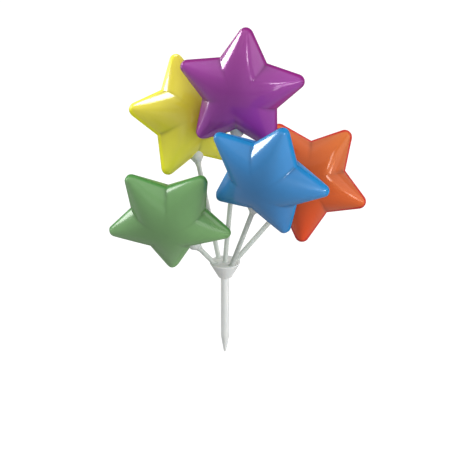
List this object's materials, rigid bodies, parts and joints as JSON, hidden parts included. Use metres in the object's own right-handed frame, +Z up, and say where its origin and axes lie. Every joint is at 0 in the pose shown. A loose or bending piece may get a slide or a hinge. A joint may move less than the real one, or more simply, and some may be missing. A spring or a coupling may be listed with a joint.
{
  "type": "cake topper",
  "caption": "Pick with puffed plastic stars that swivel on thin stems fanned out of one hub, pushed into a cake or cupcake.",
  "frame": {"origin": "on the pick's axis, where its round shank leaves the underside of the hub", "axes": "+Z up along the pick, away from its point; the faces of the stars look towards -Y; +X to the viewer's right"},
  "size_m": [0.097, 0.067, 0.1298],
  "materials": {
    "pick_white": "polished",
    "hub_white": "polished",
    "stem_white": "polished",
    "collar_white": "polished",
    "yellow_shell": "high gloss",
    "orange_shell": "high gloss",
    "purple_shell": "high gloss",
    "blue_shell": "high gloss",
    "green_shell": "high gloss"
  },
  "bodies": {
    "stand": {"pick": "pick_white", "hub": "hub_white", "yellow_stem": "stem_white", "orange_stem": "stem_white", "purple_stem": "stem_white", "blue_stem": "stem_white", "green_stem": "stem_white"},
    "yellow_star": {"yellow_collar": "collar_white", "yellow_front_shell": "yellow_shell", "yellow_back_shell": "yellow_shell"},
    "orange_star": {"orange_collar": "collar_white", "orange_front_shell": "orange_shell", "orange_back_shell": "orange_shell"},
    "purple_star": {"purple_collar": "collar_white", "purple_front_shell": "purple_shell", "purple_back_shell": "purple_shell"},
    "blue_star": {"blue_collar": "collar_white", "blue_front_shell": "blue_shell", "blue_back_shell": "blue_shell"},
    "green_star": {"green_collar": "collar_white", "green_front_shell": "green_shell", "green_back_shell": "green_shell"}
  },
  "joints": [
    {"name": "yellow_swivel", "type": "hinge", "parent": "stand", "child": "yellow_star", "pos_m": [-0.01094, 0.01623, 0.04405], "axis": [-0.2095, 0.3106, 0.9272], "range_deg": [-30, 20]},
    {"name": "orange_swivel", "type": "hinge", "parent": "stand", "child": "orange_star", "pos_m": [0.02166, 0.00767, 0.0254], "axis": [0.6607, 0.234, 0.7133], "range_deg": [-60, 20]},
    {"name": "purple_swivel", "type": "hinge", "parent": "stand", "child": "purple_star", "pos_m": [0.00446, 0.0012, 0.0593], "axis": [0.0842, 0.0226, 0.9962], "range_deg": [-10, 20]},
    {"name": "blue_swivel", "type": "hinge", "parent": "stand", "child": "blue_star", "pos_m": [0.01097, -0.01567, 0.03603], "axis": [0.2559, -0.3655, 0.8949], "range_deg": [-10, 60]},
    {"name": "green_swivel", "type": "hinge", "parent": "stand", "child": "green_star", "pos_m": [-0.01189, -0.00364, 0.01608], "axis": [-0.6147, -0.1879, 0.766], "range_deg": [-60, 10]}
  ]
}
